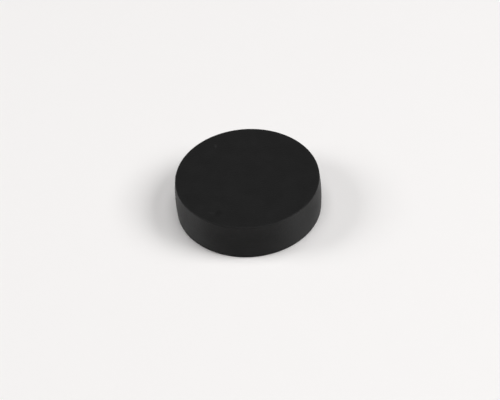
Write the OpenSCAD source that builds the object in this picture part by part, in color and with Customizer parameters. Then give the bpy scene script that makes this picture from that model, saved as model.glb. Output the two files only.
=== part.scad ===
// Disc magnet: a flat round magnet sealed all over in one moulded black rubber coat.
// Both faces are flat. The wall is crowned, so the disc is widest at mid-height, and it
// runs smoothly into the small rounded edge of each face.
// The origin is the centre of the bottom face, and Z is the axis of the disc.

/* [Disc] */
// Greatest diameter, at mid-height of the wall
disc_d = 17; // [10:0.5:40]
// Height from the bottom face to the top face
disc_h = 4.7; // [3:0.1:10]

/* [Coat] */
// How far the crowned wall stands out at mid-height, past its ends at the two faces
wall_swell = 0.12; // [0.08:0.02:0.4]
// Radius of the rounded edge of each face
edge_r = 0.15; // [0.1:0.05:1]

/* [Hidden] */
$fn = 256;

// The wall's section is one arc, found from the height and the swell
half_h = disc_h / 2;
wall_r = (pow(half_h, 2) + pow(wall_swell, 2)) / (2 * wall_swell);
wall_x = disc_d / 2 - wall_r;

// An edge round touches its flat face and the inside of the wall's arc, so its centre lies
// an edge radius in from both. It laps the wall by a hair, so that the two arcs cross in one line
edge_lap = 0.0002;
edge_reach = wall_r - edge_r;
edge_angle = asin((half_h - edge_r) / edge_reach);
edge_x = wall_x + edge_reach * cos(edge_angle) + edge_lap;

// Point at a distance from the wall arc's centre, on the line through an edge's centre.
// The side is 1 for the top edge and -1 for the bottom edge
function on_edge_line(distance, side) =
    [wall_x + distance * cos(edge_angle), half_h + side * distance * sin(edge_angle)];

// The crowned part of the wall, from where one edge round ends to where the other begins
module wall_section() {
    past_wall = wall_r / cos(edge_angle) + wall_swell;
    intersection() {
        translate([wall_x, half_h])
            circle(r = wall_r);
        polygon([
            on_edge_line(edge_reach, -1),
            on_edge_line(past_wall, -1),
            on_edge_line(past_wall, 1),
            on_edge_line(edge_reach, 1)
        ]);
    }
}

// Half of the disc's section, right of the axis
module half_section() {
    square([edge_x, disc_h]);
    wall_section();
    for (z = [edge_r, disc_h - edge_r])
        translate([edge_x, z])
            circle(r = edge_r);
}

module magnet_disc() {
    color("#242424")
        rotate_extrude()
            half_section();
}

magnet_disc();
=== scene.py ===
import math

import bmesh
import bpy
from mathutils import Matrix, Vector


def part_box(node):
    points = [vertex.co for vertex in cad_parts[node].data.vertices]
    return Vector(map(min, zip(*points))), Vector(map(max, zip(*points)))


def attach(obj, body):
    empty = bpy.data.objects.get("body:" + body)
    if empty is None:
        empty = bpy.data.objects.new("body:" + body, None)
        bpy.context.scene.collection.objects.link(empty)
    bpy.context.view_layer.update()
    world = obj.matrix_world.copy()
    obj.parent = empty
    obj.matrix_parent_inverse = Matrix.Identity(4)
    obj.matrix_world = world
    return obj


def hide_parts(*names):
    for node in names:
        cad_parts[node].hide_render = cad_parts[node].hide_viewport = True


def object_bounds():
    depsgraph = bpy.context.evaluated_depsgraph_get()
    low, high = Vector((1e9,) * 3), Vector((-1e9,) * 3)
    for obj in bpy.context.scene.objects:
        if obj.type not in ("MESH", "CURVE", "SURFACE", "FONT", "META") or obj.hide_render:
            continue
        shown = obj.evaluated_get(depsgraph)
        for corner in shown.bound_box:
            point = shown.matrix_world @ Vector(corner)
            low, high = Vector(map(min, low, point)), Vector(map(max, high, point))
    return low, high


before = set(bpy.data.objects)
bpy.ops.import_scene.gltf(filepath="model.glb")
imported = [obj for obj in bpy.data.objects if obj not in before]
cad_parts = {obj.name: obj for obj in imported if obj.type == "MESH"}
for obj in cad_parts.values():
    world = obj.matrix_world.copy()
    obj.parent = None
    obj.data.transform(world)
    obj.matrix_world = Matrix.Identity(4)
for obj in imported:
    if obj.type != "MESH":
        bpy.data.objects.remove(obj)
cadLow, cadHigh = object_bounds()
mm = 0.001  # lengths below are in millimetres, angles in degrees and powers in watts
print("frame loaded:", sorted(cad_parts))


def hexToLinear(code):
    channels = [int(code[i:i + 2], 16) / 255 for i in (1, 3, 5)]
    linear = [c / 12.92 if c <= 0.04045 else ((c + 0.055) / 1.055) ** 2.4 for c in channels]
    return (*linear, 1.0)


def addNode(tree, kind, settings, inputs):
    node = tree.nodes.new("ShaderNode" + kind)
    for name, value in settings.items():
        setattr(node, name, value)
    for name, value in inputs.items():
        if isinstance(value, bpy.types.NodeSocket):
            tree.links.new(value, node.inputs[name])
        else:
            node.inputs[name].default_value = value
    return node


def newMaterial(name):
    material = bpy.data.materials.new(name)
    material.use_nodes = True
    material.node_tree.nodes.clear()
    return material, material.node_tree


def newObject(name, data):
    made = bpy.data.objects.new(name, data)
    bpy.context.scene.collection.objects.link(made)
    return made


def newPiece(name, bm, materials):
    mesh = bpy.data.meshes.new(name)
    bm.to_mesh(mesh)
    bm.free()
    for material in materials:
        mesh.materials.append(material)
    return newObject(name, mesh)


# What the coat has all over
rubber = {
    "black": "#121212",
    "dulled": "#161616",  # the greyest of the patches
    "patch": 2.6,  # soft patches where the skin has dulled unevenly
    "patchDetail": 2,
    "polish": 0.9,  # smaller patches, rougher and smoother
    "polishDetail": 3,
    "grain": 0.22,  # pebbling from the mould, really nearer 0.08 and drawn coarser so that it shows
    "grainDetail": 2,
    "noiseSpan": (0.3, 0.7),  # nearly all of a noise's values lie between these
    "shineTurn": 0.25,  # share of a full turn, so that a stretched shine runs up and down
}

# The two faces were pressed against flat plates, and are evenly dull
faceLook = {
    "roughness": (0.40, 0.50),
    "specular": 0.1,
    "bloom": 0.045,  # the dry film on rubber
    "bloomRoughness": 0.7,
    "stretch": 0.0,
    "grainDepth": 0.04,
}

# Wear on the faces: a rim rubbed grey by handling, and how the small marks fade
worn = {
    "rubbed": "#191919",
    "rubbedFrom": 7.9,  # distance from the axis where the rubbing starts
    "rubbedTo": 8.4,
    "markDepth": 0.2,  # keeps the marks to the top face
    "markCore": 0.3,  # share of a mark's reach that has its full colour
}

# Small marks of use on the top face, by their middle and half their length and width
marks = {
    "speck": {"at": (-3.42, 5.71), "size": (0.2, 0.42), "turn": 0, "colour": "#222222"},
    "scuff": {"at": (-4.4, -5.42), "size": (0.6, 0.17), "turn": -20, "colour": "#1c1c1c"},
    "smudge": {"at": (-3.6, -5.6), "size": (0.5, 0.8), "turn": -20, "colour": "#0e0e0e"},
}


def wornColour(tree, place, polish, colour):
    flat = addNode(tree, "Mapping", {}, {"Vector": place, "Scale": (1, 1, 0)})
    fromAxis = addNode(tree, "VectorMath", {"operation": "LENGTH"}, {"Vector": flat.outputs["Vector"]})
    rubbed = addNode(tree, "MapRange", {"interpolation_type": "SMOOTHSTEP"}, {
        "Value": fromAxis.outputs["Value"],
        "From Min": worn["rubbedFrom"] * mm,
        "From Max": worn["rubbedTo"] * mm,
        "To Max": polish.outputs["Fac"],  # so the rubbing comes in patches
    })
    colour = addNode(tree, "MixRGB", {}, {
        "Fac": rubbed.outputs["Result"],
        "Color1": colour.outputs["Color"],
        "Color2": hexToLinear(worn["rubbed"]),
    })
    for mark in marks.values():
        (x, y), (length, width) = mark["at"], mark["size"]
        local = addNode(tree, "Mapping", {"vector_type": "TEXTURE"}, {
            "Vector": place,
            "Location": (x * mm, y * mm, cadHigh.z),
            "Rotation": (0, 0, math.radians(mark["turn"])),
            "Scale": (length * mm, width * mm, worn["markDepth"] * mm),
        })
        reach = addNode(tree, "VectorMath", {"operation": "LENGTH"}, {"Vector": local.outputs["Vector"]})
        inside = addNode(tree, "MapRange", {"interpolation_type": "SMOOTHSTEP"}, {
            "Value": reach.outputs["Value"],
            "From Min": 1,
            "From Max": worn["markCore"],
        })
        colour = addNode(tree, "MixRGB", {}, {
            "Fac": inside.outputs["Result"],
            "Color1": colour.outputs["Color"],
            "Color2": hexToLinear(mark["colour"]),
        })
    return colour


# The wall was formed in a turned ring, and its fine marks draw the shine out up and down
wallLook = {
    "roughness": (0.46, 0.54),  # at the top rim, which fingers have polished
    "footRoughness": 0.85,
    "specular": 0.28,
    "bloom": 0.17,
    "bloomRoughness": 0.4,
    "stretch": 0.9,
    "grainDepth": 0.02,
}

# The marks of the turned ring, round the wall
turning = {
    "spacing": 0.3,  # really nearer 0.1 and drawn coarser
    "depth": 0.0015,
    "waver": 1.5,
    "waverDetail": 2,
    "waverScale": 0.3,
    "waveLength": math.pi / 10,  # a wave texture's own, at scale 1
}


def wallRoughness(tree, place, topRoughness):
    split = addNode(tree, "SeparateXYZ", {}, {"Vector": place})
    return addNode(tree, "MapRange", {}, {
        "Value": split.outputs["Z"],
        "From Min": cadLow.z,
        "From Max": cadHigh.z,
        "To Min": wallLook["footRoughness"],
        "To Max": topRoughness.outputs["Result"],
    })


def turnedRelief(tree, place, relief):
    lines = addNode(tree, "TexWave", {"bands_direction": "Z"}, {
        "Vector": place,
        "Scale": turning["waveLength"] / (turning["spacing"] * mm),
        "Distortion": turning["waver"],
        "Detail": turning["waverDetail"],
        "Detail Scale": turning["waverScale"],
    })
    return addNode(tree, "Bump", {}, {
        "Height": lines.outputs["Fac"],
        "Distance": turning["depth"] * mm,
        "Normal": relief.outputs["Normal"],
    })


def mouldedRubber(name, look):
    # black moulded rubber: near black and dull, with a grey sheen that grows where the wall turns away
    material, tree = newMaterial(name)
    place = addNode(tree, "TexCoord", {}, {}).outputs["Object"]
    noiseLow, noiseHigh = rubber["noiseSpan"]
    patches = addNode(tree, "TexNoise", {}, {
        "Vector": place, "Scale": 1 / (rubber["patch"] * mm), "Detail": rubber["patchDetail"],
    })
    dulled = addNode(tree, "MapRange", {}, {
        "Value": patches.outputs["Fac"], "From Min": noiseLow, "From Max": noiseHigh,
    })
    colour = addNode(tree, "MixRGB", {}, {
        "Fac": dulled.outputs["Result"],
        "Color1": hexToLinear(rubber["black"]),
        "Color2": hexToLinear(rubber["dulled"]),
    })
    polish = addNode(tree, "TexNoise", {}, {
        "Vector": place, "Scale": 1 / (rubber["polish"] * mm), "Detail": rubber["polishDetail"],
    })
    smooth, rough = look["roughness"]
    roughness = addNode(tree, "MapRange", {}, {
        "Value": polish.outputs["Fac"],
        "From Min": noiseLow,
        "From Max": noiseHigh,
        "To Min": smooth,
        "To Max": rough,
    })
    grain = addNode(tree, "TexNoise", {}, {
        "Vector": place, "Scale": 1 / (rubber["grain"] * mm), "Detail": rubber["grainDetail"],
    })
    relief = addNode(tree, "Bump", {}, {
        "Height": grain.outputs["Fac"], "Distance": look["grainDepth"] * mm,
    })
    if look is faceLook:
        colour = wornColour(tree, place, polish, colour)
    else:
        roughness = wallRoughness(tree, place, roughness)
        relief = turnedRelief(tree, place, relief)
    shader = addNode(tree, "BsdfPrincipled", {}, {
        "Base Color": colour.outputs["Color"],
        "Roughness": roughness.outputs["Result"],
        "Normal": relief.outputs["Normal"],
        "Specular IOR Level": look["specular"],
        "Sheen Weight": look["bloom"],
        "Sheen Roughness": look["bloomRoughness"],
        "Anisotropic": look["stretch"],
        "Anisotropic Rotation": rubber["shineTurn"],
    })
    addNode(tree, "OutputMaterial", {}, {"Surface": shader.outputs["BSDF"]})
    return material


# The coated disc: half of its section is drawn once and spun about Z
disc = {
    "swell": 0.12,  # how far the wall stands out at mid-height
    "edgeRadius": 0.15,  # rounded edge of each face
    "edgeSegments": 10,
    "holdRing": 0.03,  # rings this close to the rounds keep their shading off the flats and the wall
    "wallCuts": 11,
    "faceRings": 10,
    "steps": 288,  # round the axis
    "merge": 0.001,  # points closer than this become one
}


def halfSection(low, high):
    radius = min(high.x - low.x, high.y - low.y) / 2
    halfHeight = (high.z - low.z) / 2
    swell = disc["swell"] * mm
    wallRadius = (halfHeight ** 2 + swell ** 2) / (2 * swell)  # arc of the crowned wall
    wallX = radius - wallRadius

    bm = bmesh.new()
    rim = radius - swell
    corners = [(0, low.z), (rim, low.z), (rim, high.z), (0, high.z)]
    points = [bm.verts.new((x, 0, z)) for x, z in corners]
    lines = [bm.edges.new(pair) for pair in zip(points, points[1:])]
    wallLine = lines[1]
    bmesh.ops.subdivide_edges(bm, edges=[wallLine], cuts=disc["wallCuts"])
    wall = [v for v in bm.verts if v.co.x > 0]
    for v in wall:
        v.co.x = wallX + math.sqrt(wallRadius ** 2 - (v.co.z - low.z - halfHeight) ** 2)

    edgeRadius = disc["edgeRadius"] * mm
    corner = math.pi / 2 + math.asin(halfHeight / wallRadius)  # angle between a face and the wall
    setBack = edgeRadius / math.tan(corner / 2)  # from the corner to where its round starts
    rims = [min(wall, key=lambda v: v.co.z), max(wall, key=lambda v: v.co.z)]
    bmesh.ops.bevel(bm, geom=rims, offset=setBack, offset_type="OFFSET", affect="VERTICES",
                    segments=disc["edgeSegments"], profile=0.5, material=-1, clamp_overlap=False)

    flatEnd = max(v.co.x for v in bm.verts if v.co.z == high.z)
    hold = disc["holdRing"] * mm
    wallEnd = edgeRadius + hold
    holdCuts = [
        ((flatEnd - hold, 0, 0), (1, 0, 0)),
        ((0, 0, low.z + wallEnd), (0, 0, 1)),
        ((0, 0, high.z - wallEnd), (0, 0, 1)),
    ]
    for spot, way in holdCuts:
        bmesh.ops.bisect_plane(bm, geom=bm.verts[:] + bm.edges[:], plane_co=spot, plane_no=way)
    faceLines = [e for e in bm.edges if min(v.co.x for v in e.verts) == 0]
    bmesh.ops.subdivide_edges(bm, edges=faceLines, cuts=disc["faceRings"])
    return bm


def coatedDisc():
    low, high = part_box("magnet_disc")
    bm = halfSection(low, high)
    bmesh.ops.spin(bm, geom=bm.verts[:] + bm.edges[:], cent=(0, 0, 0), axis=(0, 0, 1), dvec=(0, 0, 0),
                   angle=math.tau, steps=disc["steps"], use_merge=True, use_duplicate=False)
    bmesh.ops.remove_doubles(bm, verts=bm.verts, dist=disc["merge"] * mm)
    bmesh.ops.recalc_face_normals(bm, faces=bm.faces)
    turnOver = disc["edgeRadius"] * mm * (1 - math.sqrt(0.5))  # the finish changes half way round an edge
    for face in bm.faces:
        face.smooth = True
        face.material_index = int(low.z + turnOver < face.calc_center_median().z < high.z - turnOver)
    piece = newPiece("coated_disc", bm, [
        mouldedRubber("moulded_rubber_face", faceLook),
        mouldedRubber("moulded_rubber_wall", wallLook),
    ])
    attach(piece, "root")
    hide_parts("magnet_disc")
    return piece


discPiece = coatedDisc()
print("disc:", len(discPiece.data.polygons), "faces")

# A plain pale floor
floorLook = {
    "white": "#f8f6f5",
    "shade": "#f7f5f4",
    "patch": 6,  # size of the patches of shade
    "patchDetail": 3,
    "tooth": 0.3,  # fine roughness of the card
    "toothDetail": 2,
    "toothDepth": 0.004,
    "size": 3000,
}


def paleFloor():
    # smooth white card: even and matte, with a faint tooth
    material, tree = newMaterial("white_card")
    place = addNode(tree, "TexCoord", {}, {}).outputs["Object"]
    patches = addNode(tree, "TexNoise", {}, {
        "Vector": place, "Scale": 1 / (floorLook["patch"] * mm), "Detail": floorLook["patchDetail"],
    })
    colour = addNode(tree, "MixRGB", {}, {
        "Fac": patches.outputs["Fac"],
        "Color1": hexToLinear(floorLook["white"]),
        "Color2": hexToLinear(floorLook["shade"]),
    })
    tooth = addNode(tree, "TexNoise", {}, {
        "Vector": place, "Scale": 1 / (floorLook["tooth"] * mm), "Detail": floorLook["toothDetail"],
    })
    relief = addNode(tree, "Bump", {}, {
        "Height": tooth.outputs["Fac"], "Distance": floorLook["toothDepth"] * mm,
    })
    shader = addNode(tree, "BsdfDiffuse", {}, {
        "Color": colour.outputs["Color"], "Normal": relief.outputs["Normal"],
    })
    addNode(tree, "OutputMaterial", {}, {"Surface": shader.outputs["BSDF"]})
    bm = bmesh.new()
    bmesh.ops.create_grid(bm, x_segments=1, y_segments=1, size=floorLook["size"] / 2 * mm)
    floor = newPiece("floor", bm, [material])


paleFloor()
print("floor laid")

# Soft lamps at both sides, the right one brighter, a wide one overhead, and a dim even room
lamps = {
    "right": {"azimuth": 77, "height": 45, "distance": 600, "size": 330, "power": 2.15},
    "left": {"azimuth": -93, "height": 36, "distance": 600, "size": 260, "power": 1.22},
    "above": {"azimuth": 0, "height": 89, "distance": 600, "size": 400, "power": 1.57},
}
room = {"colour": "#ffffff", "strength": 0.02}


def softLamp(name, lamp):
    azimuth, height = math.radians(lamp["azimuth"]), math.radians(lamp["height"])
    outward = Vector((
        math.sin(azimuth) * math.cos(height),
        -math.cos(azimuth) * math.cos(height),
        math.sin(height),
    ))
    data = bpy.data.lights.new(name, "AREA")
    data.size = lamp["size"] * mm
    data.energy = lamp["power"]
    light = newObject(name, data)
    light.location = outward * lamp["distance"] * mm
    light.rotation_euler = (-outward).to_track_quat("-Z", "Y").to_euler()


def dimRoom():
    world = bpy.data.worlds.new("room")
    world.use_nodes = True
    tree = world.node_tree
    tree.nodes.clear()
    sky = addNode(tree, "Background", {}, {
        "Color": hexToLinear(room["colour"]), "Strength": room["strength"],
    })
    addNode(tree, "OutputWorld", {}, {"Surface": sky.outputs["Background"]})
    bpy.context.scene.world = world


for name, lamp in lamps.items():
    softLamp(name + "_lamp", lamp)
dimRoom()
print("lamps lit")

# The camera stands where the photo was taken from: far off, with a long lens
photoCamera = {
    "sensor": 36,
    "lens": 301.3,
    "farthest": 10000,  # what lies past this isn't drawn
    "place": (0.137, -351.31, 338.24),
    "dip": 43.82,  # below level
    "roll": 4.11,  # right side down
}


def setCamera():
    data = bpy.data.cameras.new("photo_camera")
    data.sensor_width = photoCamera["sensor"]
    data.lens = photoCamera["lens"]
    data.clip_end = photoCamera["farthest"] * mm
    camera = newObject("photo_camera", data)
    tilt = Matrix.Rotation(math.radians(90 - photoCamera["dip"]), 4, "X")  # from looking straight down
    roll = Matrix.Rotation(math.radians(-photoCamera["roll"]), 4, "Z")
    camera.matrix_world = Matrix.Translation(Vector(photoCamera["place"]) * mm) @ tilt @ roll
    bpy.context.scene.camera = camera


setCamera()
bpy.context.scene.view_settings.view_transform = "Standard"
print("camera set")
